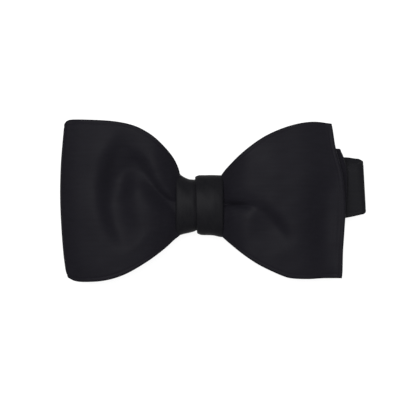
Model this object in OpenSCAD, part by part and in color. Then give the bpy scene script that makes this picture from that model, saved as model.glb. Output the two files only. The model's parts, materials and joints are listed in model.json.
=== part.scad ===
// Ready-tied bow tie on an adjustable neck band, lying on its back with the
// band folded up behind it. Millimetres, +Z out of the front of the bow,
// +Y towards the wearer's chin. The origin is on the surface that the bow tie
// lies on, straight below the middle of the knot.

/* [Bow] */
// Reach of the front blade's loop, from the knot's middle to its left fold
loop_reach = 58.2; // [57.6:0.1:59]
// Reach of the rear blade's loop, from the knot's middle to its right fold
rear_reach = 61.9; // [61.4:0.1:62.4]
// Thickness of a blade: satin, interlining and backing together
blade_t = 1.4; // [1.1:0.1:1.5]
// Thickness of the interlining in a blade
blade_core_t = 0.6; // [0.4:0.1:0.8]

/* [Knot] */
// Width of the knot wrap across the bow
knot_w = 20.2; // [19.6:0.1:20.8]
// Height of the knot where its satin is pleated over
knot_h = 26.6; // [26:0.1:27.4]
// Thickness of the satin of the knot wrap
wrap_t = 0.5; // [0.3:0.05:0.5]
// Thickness of the interlining ring inside the knot wrap
wrap_core_t = 0.4; // [0.3:0.05:0.4]

/* [Neck band] */
// Width of the neck band
band_w = 22.2; // [21:0.1:22.6]
// Thickness of the neck band
band_t = 1.2; // [1:0.1:1.2]
// Thickness of the interlining in the neck band
band_core_t = 0.6; // [0.4:0.1:0.6]
// Tilt of the folded band across the back of the bow, in degrees
band_tilt = 7; // [6:0.5:8]
// Distance from the knot's middle to the start of the band's outer fold
outer_fold_u = 69.5; // [68:0.5:71]
// Distance from the knot's middle to the start of the band's inner fold
inner_fold_u = 42; // [41:0.5:42]

/* [Fittings] */
// Place of the adjuster slide along the band
slide_u = -20; // [-20:1:-14]
// Place of the closing hook's bar along the band
hook_u = 50; // [46:0.5:51]
// Place of the eye ring's bar along the band
ring_u = -53; // [-53:0.5:-52]
// Width of the slide and of the hook
fitting_w = 26; // [25.6:0.1:27]
// Distance between the middles of the eye ring's two bars
ring_depth = 7.5; // [7.4:0.1:7.6]
// Diameter of the eye ring's wire
ring_d = 1.2; // [1:0.1:1.2]

/* [Hidden] */
$fn = 48;

SATIN = [0.1, 0.1, 0.12];
BACKING = [0.13, 0.13, 0.14];
CANVAS = [0.82, 0.79, 0.72];
METAL = [0.4, 0.4, 0.42];
THREAD = [0.05, 0.05, 0.06];

// Middle heights of the band's plies, from the lowest to the highest
tail_z = band_t / 2;
end_z = 4.6;
middle_z = 7.4;
fixed_z = 10.6;

// The band passes a little above the knot's middle
band_rise = 0.5;
// The band is gathered narrower inside the knot
waist_band_w = 18.6;
waist_reach = 12;
// Margin of the cover that shows beyond the interlining, on each side
cover_edge = 1;
// Straight stretch of the strap on each side of the hook's bar
hook_leg = 4;
// Straight stretch on each side of a fold
fold_leg = 0.5;
// Strap end that is turned round a bar and stitched down, and the gap it leaves
turned_leg = 8;
turned_gap = 0.15;
// Places along a turned end, from its bar: where it comes off the bar, where it
// closes up to the strap and where it lies flat
turn_off = 1.5;
turn_close = 3.5;
turn_flat = 5;
// How far a turned end stands off its flat height where it closes up
turn_ease = 0.3;
// Extra length of the end that is turned round the slide's bar
tail_extra = 2;

// Knot
knot_left = -knot_w / 2;
pleat_x = -1.8;
knot_back = 8.7;
knot_side_top = 13;
knot_front = 21.4;
knot_inner_h = 23.8;
knot_corner = 1.5;
knot_roundness = 2.6;
room_gap = 0.1;
// Steps of the knot's section: round each corner of its back, and over its front
corner_steps = 4;
front_steps = 24;
// Gap beside the knot before the blades open out
mouth_gap = 0.4;
// Size of a blade's interlining as a share of the blade, along it and across it
core_share = [0.965, 0.93];

// Slide, hook and stitches
rail_t = 1.3;
bar_t = 0.8;
slide_bar_d = 1;
slide_reach = 6;
hook_bar_d = 1.6;
hook_reach = 12;
hook_turn = 1.1;
tongue_w = 10;
ring_corner = 1.8;
thread_t = 0.25;
thread_w = 0.5;

// Heights of the bars
slide_bar_z = 1.8;
hook_z = (tail_z + end_z) / 2;
ring_z = fixed_z - 1.5;

// Room that the cutting shapes reach over
far = 80;
tall = 40;

// ---- paths and sections ---------------------------------------------------

function bezier(a, b, c, d, t) =
    pow(1 - t, 3) * a + 3 * pow(1 - t, 2) * t * b + 3 * (1 - t) * t * t * c + pow(t, 3) * d;

function curve(a, b, c, d, n = 8) = [for (i = [0:n]) bezier(a, b, c, d, i / n)];

function reversed(points) = [for (i = [len(points) - 1:-1:0]) points[i]];

function between(a, b, c, d, t) =
    0.5 * (2 * b + (c - a) * t + (2 * a - 5 * b + 4 * c - d) * t * t
        + (3 * b - a - 3 * c + d) * t * t * t);

// A smooth curve through all the points
function spline(points, n = 3) =
    let (last = len(points) - 1)
    concat(
        [for (i = [0:last - 1], j = [0:n - 1])
            between(points[max(i - 1, 0)], points[i], points[i + 1],
                points[min(i + 2, last)], j / n)],
        [points[last]]);

// The path moved to its left by a distance
function beside(path, distance) =
    let (last = len(path) - 1)
    [for (i = [0:last])
        let (along = path[min(i + 1, last)] - path[max(i - 1, 0)])
        path[i] + distance / norm(along) * [-along[1], along[0]]];

// The band of material between two distances beside a path
function ply(path, low, high) = concat(beside(path, low), reversed(beside(path, high)));

// Half a turn about a point, from below it to above it, bulging to +1 or -1
function half_turn(u, z, radius, side, n = 12) =
    [for (i = [0:n]) [u + side * radius * sin(180 * i / n), z - radius * cos(180 * i / n)]];

// Half a turn with a straight leg on each side of it
function fold(u, z, radius, side, leg) =
    concat([[u - side * leg, z - radius]], half_turn(u, z, radius, side),
        [[u - side * leg, z + radius]]);

// Draws a section given in (x, z) and extrudes it along Y, centred
module across(width) {
    rotate([90, 0, 0])
        linear_extrude(width, center = true)
            children();
}

// Draws in the band's frame: X along the band, Y across it
module in_band() {
    translate([0, band_rise, 0])
        rotate([0, 0, band_tilt])
            children();
}

// ---- blades ---------------------------------------------------------------

// The front blade runs from its flat end on the right, through the knot,
// round its loop on the left and back into the knot
front_path = spline([
    [64, 17.2], [50, 20], [34, 21.4], [20, 20.2], [9, 17.8], [0, 17.8], [-9, 17.8],
    [-20, 20.6], [-36, 23.4], [-49, 22.6], [-loop_reach + 2, 20.2],
    [-loop_reach + 0.7, 18.2], [-loop_reach + 2, 16.4], [-48, 15.5], [-34, 15.4],
    [-20, 15.8], [-9, 16], [0, 16], [7, 16]
]);

// The rear blade runs the other way, behind the front one
rear_path = spline([
    [-64, 13.3], [-46, 13.2], [-30, 13.3], [-18, 13.8], [-9, 14.2], [0, 14.2], [9, 14.2],
    [20, 15], [36, 16.2], [50, 16], [rear_reach - 2.4, 15.3],
    [rear_reach - 0.7, 14], [rear_reach - 2.4, 12.7], [50, 12.5], [34, 12.5],
    [20, 12.5], [9, 12.4], [0, 12.4], [-7, 12.4]
]);

mouth_x = knot_w / 2 + mouth_gap;

front_outline = concat(
    curve([-mouth_x, 14.3], [-15, 27], [-25, 36.6], [-45, 36.6]),
    [[-far, 36.6], [-far, -32.2]],
    curve([-50, -32.2], [-34, -32.2], [-24, -26], [-mouth_x, -14.2]),
    curve([mouth_x, -14.2], [20, -22.8], [30, -30.8], [42, -31.6]),
    curve([61, -31.2], [62.4, -10], [63, 12], [56.6, 35], 8),
    curve([46, 36], [30, 34.5], [19, 25.5], [mouth_x, 14.2]));

rear_outline = concat(
    curve([-mouth_x, 13.4], [-15, 25], [-25, 35], [-44, 35.2]),
    curve([-58.2, 35], [-60.6, 20], [-61.2, 0], [-58.2, -26.8]),
    curve([-46, -28.4], [-34, -29], [-24, -24], [-mouth_x, -13.4]),
    curve([mouth_x, -13.4], [20, -21], [30, -25], [44, -26]),
    [[far, -26], [far, 24.4]],
    curve([44, 26.5], [30, 26], [19, 22], [mouth_x, 13.4]));

// Rounded section of the knot, in (y, z), flat at the back and full in front
function knot_section(half_h, back, front) =
    concat(
        [for (i = [0:corner_steps])
            let (a = 90 * i / corner_steps)
            [half_h - knot_corner + knot_corner * sin(a),
                back + knot_corner - knot_corner * cos(a)]],
        [for (i = [0:front_steps])
            let (a = 180 * i / front_steps, s = sin(a), c = cos(a))
            [half_h * sign(c) * pow(abs(c), 2 / knot_roundness),
                knot_side_top + (front - knot_side_top) * pow(s, 2 / knot_roundness)]],
        [for (i = [corner_steps:-1:0])
            let (a = 90 * i / corner_steps)
            [-half_h + knot_corner - knot_corner * sin(a),
                back + knot_corner - knot_corner * cos(a)]]);

module knot_prism(half_h, back, front, x0, x1) {
    translate([x0, 0, 0])
        rotate([90, 0, 90])
            linear_extrude(x1 - x0)
                polygon(knot_section(half_h, back, front));
}

// Everything except what the knot's ring leaves no room for
module around_knot() {
    inset = wrap_t + wrap_core_t + room_gap;
    knot_prism(knot_inner_h / 2 + wrap_t - inset, knot_back + inset,
        knot_front - inset, -mouth_x, mouth_x);
    for (side = [-1, 1])
        translate([side * (mouth_x + far / 2), 0, tall / 2])
            cube([far, 2 * far, tall], center = true);
}

// One layer of a blade: between two distances beside its path, inside its outline
module blade_layer(path, outline, low, high) {
    intersection() {
        across(2 * far) polygon(ply(path, low, high));
        linear_extrude(tall) polygon(outline);
        around_knot();
    }
}

function drawn_in(outline) = [for (p = outline) [p[0] * core_share[0], p[1] * core_share[1]]];

// The satin wraps the interlining's edges, so it is a layer with a pocket in it
module blade_satin(path, outline, side) {
    difference() {
        blade_layer(path, outline, min(side * blade_t / 2, -side * blade_core_t / 2),
            max(side * blade_t / 2, -side * blade_core_t / 2));
        blade_core(path, outline);
    }
}

module blade_core(path, outline) {
    blade_layer(path, drawn_in(outline), -blade_core_t / 2, blade_core_t / 2);
}

module front_blade_face() {
    color(SATIN) blade_satin(front_path, front_outline, -1);
}

module front_blade_interlining() {
    color(CANVAS) blade_core(front_path, front_outline);
}

module front_blade_backing() {
    color(BACKING) blade_layer(front_path, front_outline, blade_core_t / 2, blade_t / 2);
}

module rear_blade_face() {
    color(SATIN) blade_satin(rear_path, rear_outline, 1);
}

module rear_blade_interlining() {
    color(CANVAS) blade_core(rear_path, rear_outline);
}

module rear_blade_backing() {
    color(BACKING) blade_layer(rear_path, rear_outline, -blade_t / 2, -blade_core_t / 2);
}

// ---- knot -----------------------------------------------------------------

// The satin is one layer on the left, and pleated over itself on the right
module knot_wrap() {
    color(SATIN)
        difference() {
            union() {
                knot_prism(knot_inner_h / 2 + wrap_t, knot_back, knot_front,
                    knot_left, pleat_x + wrap_t);
                knot_prism(knot_h / 2, knot_back, knot_front + wrap_t,
                    pleat_x, knot_left + knot_w);
            }
            knot_prism(knot_inner_h / 2, knot_back + wrap_t, knot_front - wrap_t,
                knot_left - 1, knot_left + knot_w + 1);
        }
}

module knot_interlining() {
    color(CANVAS)
        difference() {
            knot_prism(knot_inner_h / 2, knot_back + wrap_t, knot_front - wrap_t,
                knot_left + wrap_t, knot_left + knot_w - wrap_t);
            knot_prism(knot_inner_h / 2 - wrap_core_t, knot_back + wrap_t + wrap_core_t,
                knot_front - wrap_t - wrap_core_t, knot_left - 1, knot_left + knot_w + 1);
        }
}

// Slip stitches that close the wrap at its back
module knot_back_stitches() {
    stitches = 7;
    pitch = 2.6;
    stitch_l = 2.4;
    slant = 35;
    color(THREAD)
        for (i = [0:stitches - 1])
            translate([(i - (stitches - 1) / 2) * pitch, 0, knot_back - thread_t / 2])
                rotate([0, 0, slant])
                    cube([thread_w, stitch_l, thread_t], center = true);
}

// ---- neck band ------------------------------------------------------------

// A stretch of the band along a path in (u, z): its cover or its interlining
module strap_cover(path) {
    difference() {
        across(band_w) polygon(ply(path, -band_t / 2, band_t / 2));
        strap_core(path);
    }
}

module strap_core(path) {
    across(band_w - 2 * cover_edge) polygon(ply(path, -band_core_t / 2, band_core_t / 2));
}

// Outline of the sewn-in stretch, gathered at the knot, drawn in by an edge
function fixed_outline(edge) =
    let (half = band_w / 2 - edge, waist = waist_band_w / 2 - edge, slope = 5)
    concat(
        [[ring_u + fold_leg, half], [ring_u + fold_leg, -half]],
        [[-waist_reach - slope, -half], [-waist_reach, -waist],
            [waist_reach, -waist], [waist_reach + slope, -half]],
        [[outer_fold_u - fold_leg, -half], [outer_fold_u - fold_leg, half]],
        [[waist_reach + slope, half], [waist_reach, waist],
            [-waist_reach, waist], [-waist_reach - slope, half]]);

module fixed_slab(edge, thickness) {
    translate([0, 0, fixed_z - thickness / 2])
        linear_extrude(thickness)
            polygon(fixed_outline(edge));
}

ring_radius = fixed_z - ring_z;
ring_leg_z = fixed_z - band_t - turned_gap;
ring_drop = 1.3;

// The strap's end turns down round the eye ring's bar and back under itself
ring_loop_path = concat(
    [[ring_u + fold_leg, fixed_z]],
    reversed(half_turn(ring_u, ring_z, ring_radius, -1)),
    [[ring_u + turn_off, ring_z - ring_drop], [ring_u + turn_close, ring_z - turn_ease],
        [ring_u + turn_flat, ring_leg_z], [ring_u + turned_leg, ring_leg_z]]);

module band_fixed_cover() {
    color(SATIN)
        in_band() {
            difference() {
                fixed_slab(0, band_t);
                fixed_slab(cover_edge, band_core_t);
            }
            strap_cover(ring_loop_path);
        }
}

module band_fixed_interlining() {
    color(CANVAS)
        in_band() {
            fixed_slab(cover_edge, band_core_t);
            strap_core(ring_loop_path);
        }
}

outer_fold_path = fold(outer_fold_u, (fixed_z + middle_z) / 2, (fixed_z - middle_z) / 2, 1, fold_leg);
inner_fold_path = fold(-inner_fold_u, (middle_z + end_z) / 2, (middle_z - end_z) / 2, -1, fold_leg);
hook_loop_path = fold(hook_u, hook_z, end_z - hook_z, 1, hook_leg);
middle_path = [[fold_leg - inner_fold_u, middle_z], [outer_fold_u - fold_leg, middle_z]];
end_path = [[fold_leg - inner_fold_u, end_z], [hook_u - hook_leg, end_z]];

tail_leg_z = tail_z + band_t + turned_gap;
slide_lift = 1.1;
tail_path = [[slide_u + fold_leg, tail_z], [hook_u - hook_leg, tail_z]];
tail_loop_path = concat(
    [[slide_u + fold_leg, tail_z]],
    half_turn(slide_u, slide_bar_z, slide_bar_z - tail_z, -1),
    [[slide_u + turn_off, slide_bar_z + slide_lift], [slide_u + turn_close, tail_leg_z + turn_ease],
        [slide_u + turn_flat, tail_leg_z], [slide_u + turned_leg + tail_extra, tail_leg_z]]);

module outer_fold_cover() {
    color(SATIN) in_band() strap_cover(outer_fold_path);
}

module outer_fold_interlining() {
    color(CANVAS) in_band() strap_core(outer_fold_path);
}

module band_middle_cover() {
    color(SATIN) in_band() strap_cover(middle_path);
}

module band_middle_interlining() {
    color(CANVAS) in_band() strap_core(middle_path);
}

module inner_fold_cover() {
    color(SATIN) in_band() strap_cover(inner_fold_path);
}

module inner_fold_interlining() {
    color(CANVAS) in_band() strap_core(inner_fold_path);
}

module band_end_cover() {
    color(SATIN) in_band() strap_cover(end_path);
}

module band_end_interlining() {
    color(CANVAS) in_band() strap_core(end_path);
}

module hook_loop_cover() {
    color(SATIN) in_band() strap_cover(hook_loop_path);
}

module hook_loop_interlining() {
    color(CANVAS) in_band() strap_core(hook_loop_path);
}

module band_tail_cover() {
    color(SATIN)
        in_band() {
            strap_cover(tail_path);
            strap_cover(tail_loop_path);
        }
}

module band_tail_interlining() {
    color(CANVAS)
        in_band() {
            strap_core(tail_path);
            strap_core(tail_loop_path);
        }
}

// ---- fittings -------------------------------------------------------------

module cross_bar(u, z, diameter, width) {
    translate([u, 0, z])
        rotate([90, 0, 0])
            cylinder(h = width, d = diameter, center = true);
}

// Slide with its middle bar set below its two outer bars
module adjuster_slide() {
    foot = 2;
    rail_h = 2;
    outer_bar_w = 2;
    clearance = 0.4;
    top_z = middle_z - band_t / 2 - clearance;
    color(METAL)
        in_band() {
            for (side = [-1, 1])
                translate([slide_u, side * (fitting_w - rail_t) / 2, 0])
                    across(rail_t)
                        polygon([[-foot, 0], [foot, 0], [slide_reach, top_z - rail_h],
                            [slide_reach, top_z], [-slide_reach, top_z],
                            [-slide_reach, top_z - rail_h]]);
            for (side = [-1, 1])
                translate([slide_u + side * (slide_reach - outer_bar_w / 2), 0, top_z - bar_t / 2])
                    cube([outer_bar_w, fitting_w - rail_t, bar_t], center = true);
            cross_bar(slide_u, slide_bar_z, slide_bar_d, fitting_w - rail_t);
        }
}

// Hook that the strap runs round, with a tongue turned back under itself
module closing_hook() {
    plate_u = hook_u + 7;
    plate_l = 2.4;
    plate_shift = 0.6;
    arm_l = 8.4;
    tongue_u = hook_u + hook_reach;
    tongue_under = 1.5;
    tongue_lap = 1;
    tongue_path = concat(
        [[plate_u - tongue_under, hook_z - 2 * hook_turn]],
        half_turn(tongue_u, hook_z - hook_turn, hook_turn, 1),
        [[plate_u + tongue_lap, hook_z]]);
    color(METAL)
        in_band() {
            cross_bar(hook_u, hook_z, hook_bar_d, fitting_w - rail_t);
            for (side = [-1, 1])
                translate([hook_u + arm_l / 2, side * (fitting_w - rail_t) / 2, hook_z])
                    cube([arm_l, rail_t, bar_t], center = true);
            translate([plate_u + plate_shift, 0, hook_z])
                cube([plate_l, fitting_w, bar_t], center = true);
            across(tongue_w)
                polygon(ply(tongue_path, -bar_t / 2, bar_t / 2));
        }
}

// Rectangular wire ring with round corners that hangs in the strap's end
module eye_ring() {
    side_play = 0.4;
    half_w = fitting_w / 2 - side_play;
    straight_w = 2 * (half_w - ring_corner);
    straight_h = ring_depth - 2 * ring_corner;
    color(METAL)
        in_band()
            translate([ring_u, 0, ring_z - ring_depth / 2])
                rotate([0, 90, 0]) {
                    for (side = [-1, 1]) {
                        translate([side * ring_depth / 2, 0, 0])
                            rotate([90, 0, 0])
                                cylinder(h = straight_w, d = ring_d, center = true);
                        translate([0, side * half_w, 0])
                            rotate([0, 90, 0])
                                cylinder(h = straight_h, d = ring_d, center = true);
                    }
                    for (quarter = [[1, 1, 0], [-1, 1, 90], [-1, -1, 180], [1, -1, 270]])
                        translate([quarter[0] * straight_h / 2, quarter[1] * straight_w / 2, 0])
                            rotate([0, 0, quarter[2]])
                                rotate_extrude(angle = 90)
                                    translate([ring_corner, 0])
                                        circle(d = ring_d);
                }
}

// Rows of dense stitches across the strap that hold a turned end down
module bartack(u, z) {
    stitches = 9;
    stitch_l = 2.2;
    hem = 2;
    pitch = (band_w - 2 * hem) / (stitches - 1);
    for (i = [0:stitches - 1])
        translate([u, (i - (stitches - 1) / 2) * pitch, z])
            cube([stitch_l, thread_w, thread_t], center = true);
}

module tail_bartack() {
    color(THREAD)
        in_band()
            bartack(slide_u + turned_leg, tail_leg_z + (band_t + thread_t) / 2);
}

module ring_bartack() {
    from_end = 1.6;
    color(THREAD)
        in_band()
            bartack(ring_u + turned_leg - from_end, ring_leg_z - (band_t + thread_t) / 2);
}

front_blade_face();
front_blade_interlining();
front_blade_backing();
rear_blade_face();
rear_blade_interlining();
rear_blade_backing();
knot_wrap();
knot_interlining();
knot_back_stitches();
band_fixed_cover();
band_fixed_interlining();
outer_fold_cover();
outer_fold_interlining();
band_middle_cover();
band_middle_interlining();
inner_fold_cover();
inner_fold_interlining();
band_end_cover();
band_end_interlining();
hook_loop_cover();
hook_loop_interlining();
band_tail_cover();
band_tail_interlining();
adjuster_slide();
closing_hook();
eye_ring();
tail_bartack();
ring_bartack();
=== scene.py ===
"""Cloth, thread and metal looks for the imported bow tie. Lengths in this script are in
millimetres, in the frame of the part, and become metres when a mesh is made."""
import json
import math

import bpy
import numpy as np
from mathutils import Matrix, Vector


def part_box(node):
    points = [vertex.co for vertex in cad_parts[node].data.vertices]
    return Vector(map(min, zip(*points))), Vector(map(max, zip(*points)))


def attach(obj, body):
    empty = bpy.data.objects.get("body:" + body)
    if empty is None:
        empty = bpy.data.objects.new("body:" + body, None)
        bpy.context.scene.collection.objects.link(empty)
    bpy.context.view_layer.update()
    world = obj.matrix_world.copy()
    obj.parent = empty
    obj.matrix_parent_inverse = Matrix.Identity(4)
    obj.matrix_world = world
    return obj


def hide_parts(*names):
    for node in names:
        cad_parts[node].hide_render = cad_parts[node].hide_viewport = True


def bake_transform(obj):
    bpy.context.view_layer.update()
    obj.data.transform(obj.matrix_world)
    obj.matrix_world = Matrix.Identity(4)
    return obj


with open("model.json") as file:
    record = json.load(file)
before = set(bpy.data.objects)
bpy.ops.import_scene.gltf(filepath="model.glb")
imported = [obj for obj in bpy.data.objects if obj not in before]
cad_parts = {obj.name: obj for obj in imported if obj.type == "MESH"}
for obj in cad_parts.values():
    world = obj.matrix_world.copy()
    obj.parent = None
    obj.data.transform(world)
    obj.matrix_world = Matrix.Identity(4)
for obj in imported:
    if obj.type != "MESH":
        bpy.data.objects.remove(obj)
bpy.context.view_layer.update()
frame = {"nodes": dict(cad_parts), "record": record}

MM = 0.001

# ---- places taken from the frame ------------------------------------------------


def box_mm(node):
    """Lowest and highest corners of a CAD node at rest."""
    low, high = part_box(node)
    return np.array(low) / MM, np.array(high) / MM


def joint_mm(name):
    """Place of a joint's axis at rest."""
    joint = next(j for j in frame["record"]["behaviour"]["joints"] if j["name"] == name)
    return np.array(joint["pos_m"]) / MM


outer_hinge = joint_mm("outer_fold")
inner_hinge = joint_mm("inner_fold")
hook_bar = joint_mm("hook_tilt")
ring_bar = joint_mm("ring_tilt")
slide_low, slide_high = box_mm("adjuster_slide")
slide_mid = (slide_low + slide_high) / 2

# The band's tilt, place, width and thickness repeat the CAD model's, which the frame doesn't give
BAND_TILT = math.radians(7)
ALONG = np.array([math.cos(BAND_TILT), math.sin(BAND_TILT), 0])
ACROSS = np.array([-math.sin(BAND_TILT), math.cos(BAND_TILT), 0])
BAND_RISE = 0.5
BAND_W = 22.2
BAND_T = 1.2
TAIL_Z = BAND_T / 2
END_Z = 2 * hook_bar[2] - TAIL_Z
MIDDLE_Z = 2 * inner_hinge[2] - END_Z
FIXED_Z = 2 * outer_hinge[2] - MIDDLE_Z


def band_u(point):
    """Distance of a point along the folded band."""
    return float(np.dot(point - np.array([0, BAND_RISE, 0]), ALONG))


INNER_U = band_u(inner_hinge)
HOOK_U = band_u(hook_bar)
RING_U = band_u(ring_bar)
SLIDE_U = band_u(slide_mid)


def in_band(u, z, v=0.0):
    """Point at u along the folded band, v across it and height z."""
    return np.array([0, BAND_RISE, z]) + u * ALONG + v * ACROSS


# ---- curves and grids -----------------------------------------------------------


def spline(points, steps=16):
    """A smooth curve through all the points, as a dense list of points."""
    p = np.array(points, float)
    p = np.vstack([2 * p[0] - p[1], p, 2 * p[-1] - p[-2]])
    t = np.linspace(0, 1, steps, endpoint=False)[:, None]
    spans = []
    for a, b, c, d in zip(p, p[1:], p[2:], p[3:]):
        spans.append(0.5 * (2 * b + (c - a) * t + (2 * a - 5 * b + 4 * c - d) * t**2
                            + (3 * b - a - 3 * c + d) * t**3))
    return np.vstack(spans + [p[-2][None]])


def lengths(points):
    """How far along a dense curve each of its points is."""
    steps = np.linalg.norm(np.diff(points, axis=0), axis=1)
    return np.concatenate([[0], np.cumsum(steps)])


def along(points, share):
    """Points of a dense curve at shares of its length."""
    run = lengths(points)
    target = np.asarray(share) * run[-1]
    return np.stack([np.interp(target, run, points[:, k]) for k in range(points.shape[1])], -1)


def stations(points, pitch, turn_pitch=0.2):
    """Points along a dense curve, a pitch or a turn of turn_pitch radians apart."""
    step = np.diff(points, axis=0)
    size = np.linalg.norm(step, axis=1)
    heading = np.unwrap(np.arctan2(step[:, 1], step[:, 0]))
    turn = np.abs(np.diff(heading, append=heading[-1]))
    cost = np.concatenate([[0], np.cumsum(size / pitch + turn / turn_pitch)])
    count = max(3, int(round(cost[-1])) + 1)
    target = np.linspace(0, cost[-1], count)
    return np.stack([np.interp(target, cost, points[:, k]) for k in range(points.shape[1])], -1)


# Distances of the rows near a hem from it, and the most of a width that one hem's rows take
HEM_STEPS = np.array([0, 0.08, 0.22, 0.45, 0.8, 1.2, 1.5, 1.7, 1.9, 2.2, 2.7])
HEM_SHARE = 0.3


def rows(width, inset, count):
    """Shares across a width: a few rows near each hem, and even rows between."""
    scale = min(1.0, HEM_SHARE * width / HEM_STEPS[-1])
    near = inset + HEM_STEPS * scale
    middle = np.linspace(near[-1], width - near[-1], count + 2)[1:-1]
    return np.concatenate([near, middle, width - near[::-1]]) / width


class Panel:
    """Flat cloth between four edges, given as curves in X and Y. Its start is straight, and its
    finish runs through the points between the hems' ends."""

    def __init__(self, bottom, top, finish=()):
        self.bottom, self.top = spline(bottom), spline(top)
        self.start = spline([self.bottom[0], self.top[0]])
        self.finish = spline([self.bottom[-1], *finish, self.top[-1]])

    def width(self, u):
        """Distance between the hems at a share u of the length."""
        return float(np.linalg.norm(along(self.top, u) - along(self.bottom, u)))

    def at(self, u, v):
        """Points at a share u of the length and shares v of the width."""
        low, high = along(self.bottom, u), along(self.top, u)
        v = np.asarray(v)[:, None]
        corner = ((1 - u) * (1 - v) * self.bottom[0] + (1 - u) * v * self.top[0]
                  + u * (1 - v) * self.bottom[-1] + u * v * self.top[-1])
        return ((1 - v) * low + v * high + (1 - u) * along(self.start, v[:, 0])
                + u * along(self.finish, v[:, 0]) - corner)


def normals(grid, ring=False):
    """The way each point of a grid faces. A ring's rows are closed."""
    if ring:
        across = np.roll(grid, -1, axis=1) - np.roll(grid, 1, axis=1)
    else:
        across = np.gradient(grid, axis=1)
    out = np.cross(np.gradient(grid, axis=0), across)
    return out / np.maximum(np.linalg.norm(out, axis=2, keepdims=True), 1e-9)


def edge_distance(grid, start=True, finish=True):
    """How far each point of a grid is from the cloth's edge."""
    def runs(axis):
        step = np.linalg.norm(np.diff(grid, axis=axis), axis=2)
        pad = [(0, 0), (0, 0)]
        pad[axis] = (1, 0)
        return np.pad(np.cumsum(step, axis=axis), pad)

    cross = runs(1)
    found = np.minimum(cross, cross[:, -1:] - cross)
    long = runs(0)
    if start:
        found = np.minimum(found, long)
    if finish:
        found = np.minimum(found, long[-1:] - long)
    return found


def rounded(distance, radius):
    """Share of the full thickness near a rounded edge."""
    return np.sqrt(np.clip(1 - (1 - np.clip(distance / radius, 0, 1)) ** 2, 0, 1))


def groove(distance, place, width):
    """Depth of a soft groove that runs at a distance from the edge."""
    return np.exp(-(((distance - place) / width) ** 2))


# ---- meshes ---------------------------------------------------------------------


def mesh_piece(name, points, faces, material, sharp=50):
    """An object of the points that the faces use, smooth but for edges over sharp degrees."""
    points = np.asarray(points, float)
    used = np.unique(np.concatenate([np.asarray(f).ravel() for f in faces]))
    index = np.full(len(points), -1)
    index[used] = np.arange(len(used))
    mesh = bpy.data.meshes.new(name)
    mesh.from_pydata((points[used] * MM).tolist(), [],
                     [tuple(index[i] for i in face) for part in faces for face in part])
    mesh.validate()
    mesh.update()
    mesh.polygons.foreach_set("use_smooth", [True] * len(mesh.polygons))
    mesh.set_sharp_from_angle(angle=math.radians(sharp))
    mesh.materials.append(material)
    piece = bpy.data.objects.new(name, mesh)
    bpy.context.scene.collection.objects.link(piece)
    return piece


def quads(index, ring=False):
    """The faces between the points of a grid."""
    a = index if not ring else np.concatenate([index, index[:, :1]], axis=1)
    return np.stack([a[:-1, :-1], a[1:, :-1], a[1:, 1:], a[:-1, 1:]], -1).reshape(-1, 4)


def shell(grid, upper, lower, ring=False, cut_start=False, cut_finish=False):
    """Points and faces of a closed layer of cloth between two offsets from a grid. A cut end has a
    flat face, and at others the sides meet."""
    out = normals(grid, ring)
    high = grid + out * np.asarray(upper)[..., None]
    low = grid + out * np.asarray(lower)[..., None]
    count = grid.shape[0] * grid.shape[1]
    top = np.arange(count).reshape(grid.shape[:2])
    base = top + count
    if not ring:
        base[:, 0], base[:, -1] = top[:, 0], top[:, -1]
    if not cut_start:
        base[0] = top[0]
    if not cut_finish:
        base[-1] = top[-1]
    faces = [quads(top, ring), quads(base, ring)[:, ::-1]]
    for here, cut, flip in ((0, cut_start, 1), (-1, cut_finish, -1)):
        if cut:
            pair = np.stack([base[here], top[here]])
            faces.append(quads(pair, ring)[:, ::flip])
    return np.vstack([high.reshape(-1, 3), low.reshape(-1, 3)]), drop_flat(faces)


def drop_flat(faces):
    """Leaves out faces that have shrunk to a line, and double corners of the others."""
    kept = []
    for part in faces:
        for face in part:
            corners = list(dict.fromkeys(int(i) for i in face))
            if len(corners) > 2:
                kept.append(corners)
    return [[f] for f in kept]


def cloth_piece(name, grid, upper, lower, material, **options):
    points, faces = shell(grid, upper, lower, **options)
    return mesh_piece(name, points, faces, material)


# ---- materials ------------------------------------------------------------------


def new_material(name):
    material = bpy.data.materials.new(name)
    material.use_nodes = True
    tree = material.node_tree
    return material, tree, tree.nodes["Principled BSDF"]


def scaled_coordinates(tree, scale):
    coordinates = tree.nodes.new("ShaderNodeTexCoord")
    mapping = tree.nodes.new("ShaderNodeMapping")
    mapping.inputs["Scale"].default_value = scale
    tree.links.new(coordinates.outputs["Object"], mapping.inputs["Vector"])
    return mapping.outputs["Vector"]


def noise(tree, scale, detail, roughness):
    node = tree.nodes.new("ShaderNodeTexNoise")
    node.inputs["Scale"].default_value = 1.0
    node.inputs["Detail"].default_value = detail
    node.inputs["Roughness"].default_value = roughness
    tree.links.new(scaled_coordinates(tree, scale), node.inputs["Vector"])
    return node.outputs["Fac"]


# Range that a noise texture's values mostly stay in
NOISE_RANGE = (0.3, 0.7)


def ramp(tree, value, low, high):
    node = tree.nodes.new("ShaderNodeMapRange")
    node.inputs["From Min"].default_value = NOISE_RANGE[0]
    node.inputs["From Max"].default_value = NOISE_RANGE[1]
    node.inputs["To Min"].default_value = low
    node.inputs["To Max"].default_value = high
    tree.links.new(value, node.inputs["Value"])
    return node.outputs["Result"]


def mixed(tree, value, first, second):
    node = tree.nodes.new("ShaderNodeMix")
    node.data_type = "RGBA"
    node.inputs["A"].default_value = (*first, 1)
    node.inputs["B"].default_value = (*second, 1)
    tree.links.new(value, node.inputs["Factor"])
    return node.outputs["Result"]


def bumped(tree, value, strength, distance, under=None):
    node = tree.nodes.new("ShaderNodeBump")
    node.inputs["Strength"].default_value = strength
    node.inputs["Distance"].default_value = distance
    tree.links.new(value, node.inputs["Height"])
    if under is not None:
        tree.links.new(under, node.inputs["Normal"])
    return node.outputs["Normal"]


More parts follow.
